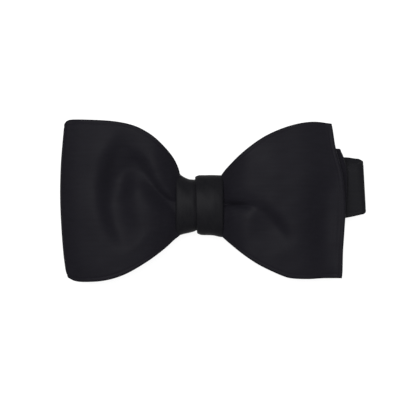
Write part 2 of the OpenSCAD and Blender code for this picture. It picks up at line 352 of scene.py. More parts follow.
def paint(tree, shader, value, dark, light):
    """Base colour that varies with a noise value."""
    colour = mixed(tree, ramp(tree, value, 0.0, 1.0), dark, light)
    tree.links.new(colour, shader.inputs["Base Color"])


# Noise scales per metre are for (X, Y, Z) or for (across, along) the cloth's floats, and a bump
# is (strength, height in metres)
FLOATS, FLOAT_BUMP = (5200.0, 620.0), (0.25, 0.00004)
SLUBS, SLUB_BUMP = (900.0, 45.0), (0.2, 0.00005)
CLOUDS, CLOUD_SHEEN = 70.0, 0.05


def lengthwise(scales, axis):
    """Noise scale of a texture that is stretched along one axis."""
    across, along_axis = scales
    return tuple(along_axis if k == axis else across for k in range(3))


def satin(name, dark, light, roughness, warp_along=0, specular=0.015):
    """Black satin: long floats along one axis, faint slubs and uneven sheen."""
    material, tree, shader = new_material(name)
    shader.inputs["Specular IOR Level"].default_value = specular
    weave = noise(tree, lengthwise(FLOATS, warp_along), 2.0, 0.6)
    slub = noise(tree, lengthwise(SLUBS, warp_along), 3.0, 0.6)
    cloudy = noise(tree, (CLOUDS,) * 3, 3.0, 0.55)
    paint(tree, shader, slub, dark, light)
    tree.links.new(ramp(tree, cloudy, roughness - CLOUD_SHEEN, roughness + CLOUD_SHEEN),
                   shader.inputs["Roughness"])
    under = bumped(tree, weave, *FLOAT_BUMP)
    tree.links.new(bumped(tree, slub, *SLUB_BUMP, under), shader.inputs["Normal"])
    return material


CANVAS_WEAVE, CANVAS_BUMP = (2400.0,) * 3, (0.5, 0.0001)
CANVAS_FLECK, CANVAS_DARK, CANVAS_LIGHT = (300.0,) * 3, (0.55, 0.51, 0.43), (0.68, 0.65, 0.58)


def canvas(name):
    """Undyed interlining: plain weave with a little fleck."""
    material, tree, shader = new_material(name)
    weave = noise(tree, CANVAS_WEAVE, 2.0, 0.6)
    fleck = noise(tree, CANVAS_FLECK, 4.0, 0.7)
    paint(tree, shader, fleck, CANVAS_DARK, CANVAS_LIGHT)
    shader.inputs["Roughness"].default_value = 0.9
    tree.links.new(bumped(tree, weave, *CANVAS_BUMP), shader.inputs["Normal"])
    return material


ENAMEL_WEAR, ENAMEL_SHEEN = (600.0,) * 3, (0.22, 0.38)
ENAMEL_DARK, ENAMEL_LIGHT = (0.012, 0.012, 0.013), (0.03, 0.03, 0.032)
ENAMEL_GRAIN, ENAMEL_BUMP = (3000.0,) * 3, (0.15, 0.00003)


def enamel(name):
    """Black enamelled steel, slightly worn and uneven."""
    material, tree, shader = new_material(name)
    worn = noise(tree, ENAMEL_WEAR, 4.0, 0.6)
    fine = noise(tree, ENAMEL_GRAIN, 2.0, 0.5)
    paint(tree, shader, worn, ENAMEL_DARK, ENAMEL_LIGHT)
    tree.links.new(ramp(tree, worn, *ENAMEL_SHEEN), shader.inputs["Roughness"])
    shader.inputs["Metallic"].default_value = 0.35
    tree.links.new(bumped(tree, fine, *ENAMEL_BUMP), shader.inputs["Normal"])
    return material


THREAD_PLY, THREAD_BUMP = (4000.0, 1500.0, 4000.0), (0.4, 0.00006)
THREAD_DARK, THREAD_LIGHT = (0.004, 0.004, 0.005), (0.013, 0.013, 0.015)


def twist(name):
    """Polyester sewing thread."""
    material, tree, shader = new_material(name)
    ply = noise(tree, THREAD_PLY, 2.0, 0.5)
    paint(tree, shader, ply, THREAD_DARK, THREAD_LIGHT)
    shader.inputs["Roughness"].default_value = 0.55
    shader.inputs["Specular IOR Level"].default_value = 0.3
    tree.links.new(bumped(tree, ply, *THREAD_BUMP), shader.inputs["Normal"])
    return material


SATIN = satin("blade_satin", dark=(0.0070, 0.0066, 0.0088), light=(0.0082, 0.0078, 0.0103),
              roughness=0.47, specular=0.022)
KNOT_SATIN = satin("knot_satin", dark=(0.0063, 0.0062, 0.0074), light=(0.0079, 0.0078, 0.0090),
                   roughness=0.46, warp_along=1, specular=0.026)
BAND_SATIN = satin("band_satin", dark=(0.0077, 0.0077, 0.0090), light=(0.0092, 0.0092, 0.0107),
                   roughness=0.50)
LINING = satin("lining_satin", dark=(0.0060, 0.0059, 0.0071), light=(0.0072, 0.0071, 0.0085),
               roughness=0.6)
CANVAS = canvas("interlining_canvas")
ENAMEL = enamel("black_enamel")
THREAD = twist("sewing_thread")

# ---- blades ---------------------------------------------------------------------

BLADE_T = 1.4
CORE_T = 0.6
# Heights of the blades' four plies inside the knot, and of the rear blade's loop where it is full
FRONT_Z, FRONT_END_Z, REAR_Z, REAR_END_Z = 17.8, 16.0, 14.2, 12.4
REAR_TOP_Z = 16.2
KNOT_MID_Z = 13.4
# How far a ply's hems are drawn in for each millimetre that it is from the knot's middle
GATHER = 0.55
# Distance over which a wing takes the knot's shape
KNOT_REACH = 9
# Height over which a fold's floor is rounded off where it meets the ply below, and their gap
SOFT_STOP = 0.5
PLY_CLEAR = 0.1
# Share of the rear blade over which it rises to its full height
REAR_RISE = 0.6
# Rounds of smoothing
EASING = 3
# How far the hems are drawn back: the front blade's, its return ply's and the rear blade's
FRONT_DRAW, RETURN_DRAW, REAR_DRAW = 1.3, 0.5, 0.3
# Share of a wing where its folds start to fade towards the turned edge
FADE_FROM = 0.93
# Ripples: their phase on each blade, how fast they start, and how strong the rear ones are
FRONT_PHASE, REAR_PHASE = 0.7, 2.1
RIPPLE_START, REAR_RIPPLE = 4, 0.5

# Soft folds of the front blade: (depth, steep, soft, route of (x, y, share), power). A fold is
# deepest on its route, and rises again over the steep width to the right of the way it runs and
# over the soft width to the left, where the power, 2 if it is left out, makes the slope fuller.
LEFT_FOLDS = [
    (2.8, 1.7, 4.4, [(-8, 0.0, 1), (-10.3, 0.4, 1), (-13.5, 2.0, 1), (-17.0, 5.0, 0.9),
                     (-20.2, 9.0, 0.5), (-22.5, 13, 0.1)]),
    (2.4, 3.6, 5.0, [(-16.5, 4.0, 0.1), (-20.5, 8.6, 0.6), (-23.6, 13.0, 1), (-26.4, 17.6, 0.8),
                     (-29.5, 22.0, 0.1)]),
    (2.6, 5.8, 6.4, [(-31.0, 3.0, 0.1), (-32.8, 7.0, 0.7), (-33.0, 11.0, 1), (-31.8, 15.0, 0.9),
                     (-29.4, 19.5, 0.4), (-26.8, 23.5, 0)]),
    (3.1, 3.8, 8.6, [(-29.0, 32, 0.1), (-35.0, 22.6, 0.7), (-38.0, 14, 1), (-38.7, 4.5, 1),
                     (-37.4, -5, 1), (-34.2, -12, 0.7), (-28.6, -18, 0)], 3),
]
RIGHT_FOLDS = [
    (2.6, 0.9, 1.0, [(8, 0.4, 1), (13, 0.5, 1), (18, 0.2, 0.7), (22, -0.3, 0.2), (25, -0.5, 0)]),
    (1.3, 3.6, 4.4, [(8, 0.6, 1), (14, 0.6, 1), (20, 0.2, 0.8), (25, -0.8, 0.5), (29, -2.5, 0)]),
    (2.6, 3.4, 11.0, [(37.5, -17.5, 0.1), (34.4, -12, 0.8), (31.2, -7.6, 1), (27.6, -4.2, 0.8),
                      (23.0, -1.6, 0.2)]),
    (2.4, 7.5, 5.5, [(55, 14, 0.1), (55, 6, 0.7), (54.6, -6, 1), (54.3, -16, 0.8),
                     (54, -27, 0.2)]),
]


def fold_depth(x, y, depth, steep, soft, route, power=2):
    """Depth of one fold at each point."""
    stops = spline(route, 12)
    heading = np.gradient(stops[:, :2], axis=0)
    across, up = x[:, None] - stops[:, 0], y[:, None] - stops[:, 1]
    near = np.argmin(across**2 + up**2, axis=1)
    pick = np.arange(len(x))
    across, up, heading = across[pick, near], up[pick, near], heading[near]
    left = heading[:, 0] * up - heading[:, 1] * across > 0
    share = np.hypot(across, up) / np.where(left, soft, steep)
    return depth * stops[near, 2] * np.exp(-(share ** np.where(left, power, 2)))


def folded(x, y, folds):
    """Height that all the folds leave, at or below zero."""
    height = np.zeros_like(x)
    for fold in folds:
        height -= fold_depth(x, y, *fold)
    return height


# Heights of the broad and the fine ripples, and how far each set of waves runs for a radian
BROAD, BROAD_WAVES, BROAD_CROSS = 0.16, (5.3, 8.1), (11.0, 6.7)
FINE, FINE_WAVES, FINE_CROSS = 0.07, (2.3, 3.1), 2.9


def ripple(x, y, phase):
    """Small unevenness that soft cloth keeps."""
    return (BROAD * np.sin(x / BROAD_WAVES[0] + y / BROAD_WAVES[1] + phase)
            * np.sin(y / BROAD_CROSS[1] - x / BROAD_CROSS[0] + 2 * phase)
            + FINE * np.sin(x / FINE_WAVES[0] - y / FINE_WAVES[1] + 3 * phase)
            * np.sin(y / FINE_CROSS + phase))


def eased(heights):
    """Rounds off sharp crests, as the stiffness of the cloth does."""
    for _ in range(EASING):
        for axis in (0, 1):
            pad = [(1, 1) if k == axis else (0, 0) for k in (0, 1)]
            wide = np.pad(heights, pad, mode="edge")
            before, after = np.delete(wide, (-1, -2), axis), np.delete(wide, (0, 1), axis)
            heights = heights / 2 + (before + after) / 4
    return heights


# Distance between rows along a blade, rows across it, and the gap kept from a hem's own rows
BLADE_PITCH = 1.0
BLADE_ROWS = 78
HEM_CLEAR = 0.3


def strip(stops, inset, count, shape):
    """A blade as one strip. Each stop is (panel, share, height, weight of the folds)."""
    flat, base, heights = [], [], []
    for panel, u, z, weight in stops:
        v = rows(panel.width(u), inset, count)
        xy = panel.at(u, v)
        flat.append(xy)
        base.append(np.full(len(v), z))
        heights.append(shape(xy[:, 0], xy[:, 1], v, u, z, weight))
    return np.dstack([np.array(flat), np.array(base) + eased(np.array(heights))])


def wing_stops(panel, path, weight_back=None):
    """Stops along one wing, for a path of (share of the reach, height) from the knot. The folds'
    weight is 1 as far as the turned edge, and weight_back after it."""
    dense = spline([(q * WING_REACH, z) for q, z in path])
    turned = int(np.argmax(dense[:, 0]))
    peak = dense[turned, 0]
    found = stations(dense, BLADE_PITCH)
    half = np.argmax(found[:, 0])
    weights = [1.0 if i <= half else weight_back for i in range(len(found))]
    return [(panel, min(x / peak, 1.0), z, w) for (x, z), w in zip(found, weights)]


def hem_stops(stops, inset):
    """Replaces the start of a strip by rows near its hem."""
    panel = stops[0][0]
    reach = np.linalg.norm(along(panel.bottom, 1.0) - along(panel.bottom, 0.0))
    near = [1 - (inset + d) / reach for d in HEM_STEPS]
    shares = np.array([s[1] for s in stops])[::-1]
    heights = np.array([s[2] for s in stops])[::-1]
    kept = [s for s in stops if s[1] < near[-1] - HEM_CLEAR / reach]
    return [(panel, u, float(np.interp(u, shares, heights)), stops[0][3]) for u in near] + kept


# The turned edge of the front blade's loop, which its two plies share
FRONT_TURN = [(-57.3, -26.4), (-58.6, -14), (-59.4, 2), (-59.2, 16), (-58.4, 27)]

front_right = Panel(
    [(9.4, -13.3), (16.5, -19.4), (21.9, -23.4), (27.4, -26.6), (35.1, -30.1), (39.5, -31.3),
     (46.6, -31.6), (53, -31.3), (61.0, -31.3)],
    [(9.4, 13.1), (11.6, 16), (16.5, 21.2), (21.9, 25.8), (27.4, 29.5), (32.9, 32.2),
     (38.4, 34.2), (44.4, 35.6), (50, 36.0), (56.6, 35.2)],
    finish=[(61.3, -28), (61.5, -20), (62.1, -11), (62.5, -3), (62.2, 6), (61.2, 14),
            (59.4, 20.5), (58.1, 26), (57.2, 32)])
front_left = Panel(
    [(-9.2, -13.2), (-11.8, -15.3), (-15.1, -18.4), (-20.6, -22.7), (-26.1, -26.3),
     (-31.6, -29.3), (-37, -31.3), (-43, -32.5), (-50.3, -32.8), (-54.0, -32.3), (-56.0, -31.2)],
    [(-9.2, 14.2), (-10.2, 17.6), (-12.4, 21.7), (-16.3, 26.3), (-20.6, 30.2), (-26.1, 33.4),
     (-31.6, 35.2), (-38.7, 36.3), (-48, 36.8), (-54.8, 36.9), (-56.9, 36.4), (-57.6, 35.4)],
    finish=FRONT_TURN)
front_return = Panel(
    [(-9.2, -12.6), (-15.1, -17.4), (-20.6, -21.6), (-31.6, -28), (-43, -31.2), (-51, -32),
     (-56.0, -31.2)],
    [(-9.2, 13.0), (-12.4, 20.2), (-20.6, 28.8), (-31.6, 34), (-43, 35.6), (-53, 36.2),
     (-57.6, 35.4)],
    finish=FRONT_TURN)
rear_left = Panel(
    [(-9.2, -12.4), (-15, -17), (-21, -20.8), (-27, -24), (-33, -26.3), (-42, -27.6),
     (-58.0, -27.4)],
    [(-9.2, 12.8), (-12.6, 20), (-16.6, 24.8), (-21, 28.8), (-26.6, 32), (-32, 33.8),
     (-39, 35), (-48, 35.5), (-58.0, 35.6)],
    finish=[(-59.0, -22), (-59.9, -9.5), (-60.4, 3), (-59.9, 14), (-59.1, 24)])
rear_right = Panel(
    [(9.4, -12.4), (17, -18), (24, -21.5), (32, -24), (42, -25), (60, -24.6)],
    [(9.4, 12.4), (16.5, 19), (23, 23), (31, 25.4), (40, 26), (50, 25.4), (59.8, 24.5)],
    finish=[(61.5, -12), (62.5, 0), (62.9, 8), (62.7, 15), (61.6, 20)])

# Inside the knot: where a hem is drawn in, and its distance from the middle of the blade there,
# in the knot's middle and on the far side
WAIST_X = 6.5
WAIST_LOW, WAIST_HIGH = (10.4, 9.4, 10.2), (10.6, 9.6, 10.4)


def waist(bottom, top):
    """The cloth between two points of each hem, drawn in by the knot."""
    places = (math.copysign(WAIST_X, bottom[0][0]), 0, -math.copysign(WAIST_X, bottom[0][0]))
    return Panel([bottom[0], *((x, -y) for x, y in zip(places, WAIST_LOW)), bottom[1]],
                 [top[0], *zip(places, WAIST_HIGH), top[1]])


front_waist = waist([(9.4, -13.3), (-9.2, -13.2)], [(9.4, 13.1), (-9.2, 14.2)])
front_end_waist = waist([(-9.2, -12.6), (8, -10.4)], [(-9.2, 13.0), (8, 10.4)])
rear_waist = waist([(-9.2, -12.4), (9.4, -12.4)], [(-9.2, 12.8), (9.4, 12.4)])
rear_end_waist = waist([(9.4, -12.4), (-8, -10.4)], [(9.4, 12.4), (-8, 10.4)])


def waist_stops(panel, z, count=14):
    """Stops through the knot, where the blade has no folds."""
    return [(panel, u, z, 0.0) for u in np.linspace(0, 1.0, count + 1)[1:]]


# Paths of the wings, from the knot: (share of the reach, height)
FRONT_PATH_RIGHT = [(0, 17.8), (0.05, 18.6), (0.13, 20.4), (0.28, 22.2), (0.5, 22.6), (0.72, 21.6),
                    (0.9, 19.8), (1.0, 18.6)]
FRONT_PATH_LEFT = [(0, 17.8), (0.05, 18.4), (0.14, 20.4), (0.3, 22.8), (0.5, 23.6), (0.7, 23.5),
                   (0.86, 22.7), (0.955, 21.2), (0.992, 19.8), (1.0, 18.6), (0.988, 17.4),
                   (0.95, 16.5), (0.86, 15.9), (0.6, 15.6), (0.3, 15.8), (0.1, 16.0), (0, 16.0)]
REAR_PATH_LEFT = [(0, 14.2), (0.3, 13.9), (0.6, 13.5), (1.0, 13.5)]
REAR_PATH_RIGHT = [(0, 14.2), (0.1, 14.6), (0.3, 15.6), (0.6, 16.2), (0.85, 15.9), (0.96, 15.2),
                   (1.0, 14.1), (0.96, 13.0), (0.85, 12.7), (0.6, 12.5), (0.3, 12.5), (0, 12.4)]
WING_REACH = 50.0
# Rows of a strip's last stretch, which ends in the knot, and how much of its ripples the rear
# blade keeps on the way there
END_ROWS = 10
RETURN_RIPPLE = 0.4


def gathered(side, z):
    """How far a ply at height z is drawn towards the middle of the knot at its hems."""
    return GATHER * (KNOT_MID_Z - z) * side


def front_shape(x, y, v, u, z, weight):
    """Height of the front blade above its path: folds, full middle and drawn-back edges. The
    weight is None on the ply that returns to the knot, and 0 inside the knot."""
    side = (2 * v - 1) ** 2
    if weight is None:
        return -RETURN_DRAW * side
    if weight == 0:
        return gathered(side, z)
    near = math.exp(-u * WING_REACH / KNOT_REACH)
    folds = LEFT_FOLDS if x[0] < 0 else RIGHT_FOLDS
    height = folded(x, y, folds) + ripple(x, y, FRONT_PHASE) * min(1, RIPPLE_START * u)
    below = FRONT_END_Z if x[0] < 0 else np.interp(u, [0, REAR_RISE], [REAR_Z, REAR_TOP_Z])
    lowest = below + BLADE_T + PLY_CLEAR - z
    height = lowest + SOFT_STOP * np.logaddexp(0, (height - lowest) / SOFT_STOP)
    height = height - FRONT_DRAW * side * (1 - near) + near * gathered(side, FRONT_Z)
    return weight * height * max(0.0, 1 - max(0.0, (u - FADE_FROM) / (1 - FADE_FROM)) ** 2)


def rear_shape(x, y, v, u, z, weight):
    """The same for the rear blade, which shows no folds."""
    side = (2 * v - 1) ** 2
    if weight == 0:
        return gathered(side, z)
    near = math.exp(-u * WING_REACH / KNOT_REACH)
    height = REAR_RIPPLE * ripple(x, y, REAR_PHASE) - REAR_DRAW * side
    return weight * height * (1 - near) + near * gathered(side, z)


def front_stops(inset):
    """From the flat end on the right, through the knot, round the left loop and back."""
    right = wing_stops(front_right, FRONT_PATH_RIGHT)[::-1]
    left = wing_stops(front_left, FRONT_PATH_LEFT)
    turn = max(range(len(left)), key=lambda i: left[i][1])
    left = left[:turn + 1] + [(front_return, *s[1:]) for s in left[turn + 1:]]
    return (hem_stops(right, inset) + waist_stops(front_waist, FRONT_Z)[:-1] + left
            + waist_stops(front_end_waist, FRONT_END_Z, END_ROWS))


def rear_stops(inset):
    """From the flat end on the left, through the knot, round the right loop and back."""
    left = wing_stops(rear_left, REAR_PATH_LEFT)[::-1]
    right = wing_stops(rear_right, REAR_PATH_RIGHT, RETURN_RIPPLE)
    return (hem_stops(left, inset) + waist_stops(rear_waist, REAR_Z)[:-1] + right
            + waist_stops(rear_end_waist, REAR_END_Z, END_ROWS))


# Radius of a blade's rounded edge, and the pressed line of stitches along it
EDGE_R = 0.75
SEAM_IN, SEAM_W, SEAM_DEPTH = 1.75, 0.28, 0.1
# Gap between the layers and the interlining, and how far in the inner layers' edges are
SKIN_GAP, CORE_GAP = 0.02, 0.03
CORE_INSET, LINING_INSET = 1.5, 0.3


def blade(name, stops_at, shape, outside):
    """Satin face, interlining and backing of one blade. outside is the satin's side."""
    def layer(part, node, inset, far, close, material, pressed=0.0):
        grid = strip(stops_at(inset), inset, BLADE_ROWS, shape)
        distance = edge_distance(grid)
        full = rounded(distance, EDGE_R)
        mark = pressed * groove(distance, SEAM_IN, SEAM_W)
        outer, inner = outside * (far * full - mark), outside * close * full
        high, low = (outer, inner) if outside > 0 else (inner, outer)
        if far < close:
            high, low = low, high
        piece = cloth_piece(f"{name}_{part}", grid, high, low, material)
        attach(piece, "bow")
        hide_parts(f"{name}_{node}")
        return piece

    half, core_half = BLADE_T / 2, CORE_T / 2
    return (layer("satin", "face", 0.0, half, core_half + SKIN_GAP, SATIN, SEAM_DEPTH),
            layer("canvas", "interlining", CORE_INSET, core_half - CORE_GAP,
                  CORE_GAP - core_half, CANVAS),
            layer("lining", "backing", LINING_INSET, -half, -core_half - SKIN_GAP,
                  LINING))


front_face, front_core, front_back = blade("front_blade", front_stops, front_shape, -1)
rear_face, rear_core, rear_back = blade("rear_blade", rear_stops, rear_shape, 1)

# ---- knot -----------------------------------------------------------------------

# Where the wrap's pleat runs, how much it leans, and how far from it the wrap leans too
PLEAT_X, PLEAT_SLANT, PLEAT_REACH = -1.5, 0.035, 4
KNOT_BACK_Z = 9.3
# Reach of the knot's section to its top and bottom edge, and the height of its front: (x, value)
KNOT_TOP = [(-10.3, 13.6), (-8.6, 12.9), (-7, 12.0), (-4.5, 11.2), (-2.5, 11.1), (0, 11.9),
            (10, 12.1)]
KNOT_BOTTOM = [(-10.3, 13.0), (-7, 12.0), (-2, 10.8), (0, 11.5), (6, 11.9), (10, 12.6)]
KNOT_FRONT = [(-10.3, 20.4), (-7, 20.6), (6, 20.6), (10, 20.0)]
# Exponents of the section: round in front and nearly square at the back
ROUND_POWER, SQUARE_POWER = 2 / 2.1, 2 / 4.5
# Share of a ply's lift that is left at the back, sideways and in height
BACK_LIFT, BACK_RISE = 0.8, 0.4
# Wrinkles round the knot: (height, waves round it, turn for each millimetre along it)
WRINKLES = ((0.12, 3, 0.5), (0.08, 7, -0.9))
WRINKLE_SHARE = 0.5
KNOT_SIDES = 120
WRAP_PITCH, WRAP_TURN = 0.6, 0.25


def level(x, stops):
    """Value at x between stops of (x, value)."""
    return np.interp(x, *zip(*stops))


def knot_section(x, phi, lift):
    """Point of the knot's section at x. phi runs from the top edge over the front."""
    front_half = np.sin(phi) > 0
    power = np.where(front_half, ROUND_POWER, SQUARE_POWER)
    c, s = np.cos(phi), np.sin(phi)
    reach = (np.where(c > 0, level(x, KNOT_TOP), level(x, KNOT_BOTTOM))
             + lift * np.where(front_half, 1.0, BACK_LIFT))
    rise = np.where(front_half, level(x, KNOT_FRONT) - KNOT_MID_Z + lift,
                    KNOT_MID_Z - KNOT_BACK_Z + BACK_RISE * lift)
    y = reach * np.sign(c) * np.abs(c) ** power
    z = KNOT_MID_Z + rise * np.sign(s) * np.abs(s) ** power
    return np.stack([np.full_like(phi, x), y, z], -1)


def knot_grid(path):
    """Rings of points round the knot, one for each stop of a path of (x, lift)."""
    phi = np.linspace(0, 2 * math.pi, KNOT_SIDES, endpoint=False)
    lines = []
    for x, lift in stations(spline(path), WRAP_PITCH, WRAP_TURN):
        wrinkle = sum(high * np.sin(waves * phi + twine * x) for high, waves, twine in WRINKLES)
        line = knot_section(x, phi, lift + WRINKLE_SHARE * wrinkle)
        line[:, 0] -= PLEAT_SLANT * line[:, 1] * math.exp(-(((x - PLEAT_X) / PLEAT_REACH) ** 2))
        lines.append(line)
    return np.array(lines)


# Path of the wrap across the knot, with its pleat folded over on the right: (x, lift)
WRAP_PATH = [(-9.7, -0.9), (-10.15, -0.55), (-10.3, -0.1), (-9.9, 0.25), (-9, 0.3), (-6, 0.15),
             (-3, 0.05), (-1.6, -0.25), (1.2, -0.2), (2.4, -0.05), (2.7, 0.18), (2.4, 0.42),
             (1, 0.46), (-0.9, 0.46), (-1.5, 0.62), (-1.55, 0.85), (-1.1, 1.05), (0.5, 1.1),
             (3, 1.05), (6, 1.0), (8.8, 1.0), (9.6, 0.85), (9.9, 0.45), (9.75, 0.0), (9.3, -0.4)]
CORE_PATH = [(-9.0, -0.78), (-5, -0.7), (-1.5, -0.75), (2, -0.7), (5, -0.6), (9, -0.7)]
WRAP_T, WRAP_CORE_T = 0.28, 0.3


def knot_layer(name, path, thickness, material, node):
    """A layer of cloth round the knot, open at its two sides."""
    grid = knot_grid(path)
    half = np.full(grid.shape[:2], thickness / 2)
    piece = cloth_piece(name, grid, half, -half, material,
                        ring=True, cut_start=True, cut_finish=True)
    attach(piece, "bow")
    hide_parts(node)
    return piece


wrap = knot_layer("knot_wrap_satin", WRAP_PATH, WRAP_T, KNOT_SATIN, "knot_wrap")
core = knot_layer("knot_canvas", CORE_PATH, WRAP_CORE_T, CANVAS, "knot_interlining")

# ---- neck band ------------------------------------------------------------------

STRAP_ROWS = 14
# Width of the hem that curls under, and how far it drops there
CURL_W = 3.4
HEM_DROP = 1.9
# Layers of the strap: (part, inset, half its thickness, radius of its edge, material, slot)
STRAP_LAYERS = (("satin", 0.0, BAND_T / 2, 0.6, BAND_SATIN, "band_satin"),
                ("canvas", 1.2, 0.28, 0.3, CANVAS, "interlining"))
# Depth, place and width of the pressed line beside the strap's edge
CREASE_DEPTH, CREASE_IN, CREASE_W = 0.05, 1.7, 0.3


def strap_grid(centres, across, width, curl, inset):
    """Rows across a strap. width and curl, the drop of its upper hem, are for each centre."""
    lines = []
    for centre, direction, w, drop in zip(centres, across, width, curl):
        v = (rows(w, inset, STRAP_ROWS) - 0.5) * w
        bent = np.clip((v - w / 2 + CURL_W) / CURL_W, 0, 1) ** 2
        lines.append(centre + v[:, None] * direction - drop * bent[:, None] * np.array([0, 0, 1]))
    return np.array(lines)


def strap(name, nodes, body, centres, across, width=BAND_W, ends=(True, True), bend=None, curl=0):
    """A stretch of the band: a satin cover round an interlining. Each of its ends is cut, so that
    it meets the next stretch, or rounded. It rides on a body, or, when bend is given, keeps its
    place and rides on no body."""
    width, curl = np.broadcast_to(width, len(centres)), np.broadcast_to(curl, len(centres))
    for part, inset, half, radius, material, slot in STRAP_LAYERS:
        grid = strap_grid(centres, across, width, curl, inset)
        distance = edge_distance(grid, not ends[0], not ends[1])
        full = rounded(distance, radius)
        crease = CREASE_DEPTH * groove(distance, CREASE_IN, CREASE_W) if part == "satin" else 0
        piece = cloth_piece(f"{name}_{part}", grid, half * full - crease, crease - half * full,
                            material, cut_start=ends[0], cut_finish=ends[1])
        if bend is None:
            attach(piece, body)
        else:
            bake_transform(piece)
    if nodes:
        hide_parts(f"{nodes}_cover")
        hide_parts(f"{nodes}_interlining")


# Most that a path turns between rows, in radians: along the band, and seen from above
PATH_TURN, ROUTE_TURN = 0.15, 0.1


def straight(path, pitch=2.5):
    """Centres and across directions of a strap that follows a path of (u, z) in the band."""
    found = stations(spline(path) if len(path) > 2 else np.array(path, float), pitch, PATH_TURN)
    return (np.array([in_band(u, z) for u, z in found]),
            np.repeat(ACROSS[None], len(found), axis=0))


def curved(route, z, pitch=2.0):
    """The same for a strap that lies at one height along a route of (x, y)."""
    flat = stations(spline(route), pitch, ROUTE_TURN)
    heading = np.gradient(flat, axis=0)
    heading /= np.linalg.norm(heading, axis=1, keepdims=True)
    side = np.column_stack([-heading[:, 1], heading[:, 0], np.zeros(len(flat))])
    side *= np.sign(side[:, 1:2])
    return np.column_stack([flat, np.full(len(flat), z)]), side


def turn(u, z, radius, side, count=14):
    """Half a turn of a path of (u, z), from below a bar to above it."""
    angle = np.linspace(0, math.pi, count)
    return [(u + side * radius * math.sin(a), z - radius * math.cos(a)) for a in angle]


def squared(centres, across, last):
    """Turns the rows near one end of a ply, so that it ends along the fold."""
    run = lengths(centres)
    gap = run[-1] - run if last else run
    share = np.clip(1 - gap / SQUARE_REACH, 0, 1)[:, None]
    turned = across + (ACROSS - across) * share
    return turned / np.sum(turned * across, axis=1, keepdims=True)


# Length of a ply that turns to end along its fold, and the straight lead into the fold
SQUARE_REACH = 12
FOLD_LEAD = 0.4
# How far the outer fold bulges and leans out, and where its curl starts before the fold does
FOLD_BULGE = 0.2
FOLD_SKEW = 0.07
FOLD_EASE = 0.2
# How far the first ply lies flat beyond the ring's bar
RING_FLAT = 1
fixed_end = in_band(RING_U + RING_FLAT, 0)[:2]
# Routes of the first and the second ply, in X and Y
FIXED_ROUTE = [fixed_end, (-30, -3.2), (0, 0.4), (30, 2.9), (50, 4.2), (61, 5.5), (68.5, 7.1)]
MIDDLE_ROUTE = [(68.9, 9.0), (61, 9.8), (50, 8.8), (30, 5.0), (0, 0.5), in_band(INNER_U, 0)[:2]]

# The plies are narrower behind the knot: (distances from it in X, widths)
FIXED_WAIST = ([12, 18], [18.6, BAND_W])
MIDDLE_WAIST = ([6, 30], [20.8, BAND_W])
# Where in X the second ply's hem starts to curl, and where it is curled
CURL_SPAN = [54, 62]

fixed_centres, fixed_across = curved(FIXED_ROUTE, FIXED_Z)
fixed_across = squared(fixed_centres, fixed_across, True)
fixed_width = np.interp(np.abs(fixed_centres[:, 0]), *FIXED_WAIST)
strap("band_fixed", "band_fixed", "bow", fixed_centres, fixed_across, fixed_width)

# A turned end comes off its bar and closes up to the strap at these distances along the band and
# from its flat height, then lies flat, and ends
RING_OFF, RING_CLOSE, TURN_FLAT, RING_LEG = (1.5, 1.4), (3.4, 0.35), 5, 8
# Gaps between a turned end and the strap, and between rows round a bar
RING_GAP, SLIDE_GAP = 0.1, 0.12
LOOP_PITCH = 0.8

ring_leg_z = FIXED_Z - BAND_T - RING_GAP
ring_turn = turn(RING_U, ring_bar[2], FIXED_Z - ring_bar[2], -1)[::-1]
ring_loop = [
    (RING_U + RING_FLAT, FIXED_Z), (RING_U + RING_FLAT / 2, FIXED_Z), (RING_U, FIXED_Z),
    *ring_turn[1:], (RING_U + RING_OFF[0], ring_leg_z - RING_OFF[1]),
    (RING_U + RING_CLOSE[0], ring_leg_z - RING_CLOSE[1]), (RING_U + TURN_FLAT, ring_leg_z),
    (RING_U + RING_LEG, ring_leg_z)]
strap("ring_loop", None, "bow", *straight(ring_loop, LOOP_PITCH), ends=(True, False))

middle_centres, middle_across = curved(MIDDLE_ROUTE, MIDDLE_Z)
middle_across = squared(middle_centres, middle_across, False)
middle_width = np.interp(np.abs(middle_centres[:, 0]), *MIDDLE_WAIST)
middle_curl = np.interp(middle_centres[:, 0], CURL_SPAN, [0, HEM_DROP])
strap("band_middle", "band_middle", "band_middle", middle_centres, middle_across, middle_width,
      curl=middle_curl)


def fold_between(first, last, bulge, skew, count=21):
    """Centres and across directions of cloth that turns back from one ply to another. first and
    last are (end of the ply, its across direction, the way it points)."""
    (low, low_across, low_way), (high, high_across, high_way) = first, last
    start, finish = low + FOLD_LEAD * low_way, high + FOLD_LEAD * high_way
    outward = (low_way + high_way) / np.linalg.norm(low_way + high_way)
    share = np.linspace(0, 1, count)[:, None]
    angle = math.pi * share
    arc = start + (finish - start) * (1 - np.cos(angle)) / 2
    arc = arc + (abs(high[2] - low[2]) / 2 + bulge) * np.sin(angle) * outward
    across = low_across + (high_across - low_across) * share
    across = across + skew * np.sin(angle) * outward
    return (np.vstack([low, (low + start) / 2, arc, (high + finish) / 2, high]),
            np.vstack([low_across, low_across, across, high_across, high_across]))


def fold_strap(name, bodies, first, last, bulge=0.0, curl=0, skew=0.0):
    """A fold of the band, which turns back from one ply to the next."""
    centres, across = fold_between(first, last, bulge, skew)
    share = np.clip(np.linspace(-FOLD_EASE, 1 + FOLD_EASE, len(centres)), 0, 1)
    start, end = centres[0] * MM, centres[-1] * MM
    strap(name, name, None, centres, across, curl=curl * share * share * (3 - 2 * share),
          bend=(*bodies, tuple(start), (start[0], start[1], end[2])))


def ply_end(centres, across, last):
    """Where a ply ends, for a fold to start from."""
    here, before = (-1, -2) if last else (0, 1)
    way = centres[here] - centres[before]
    return centres[here], across[here], way / np.linalg.norm(way)


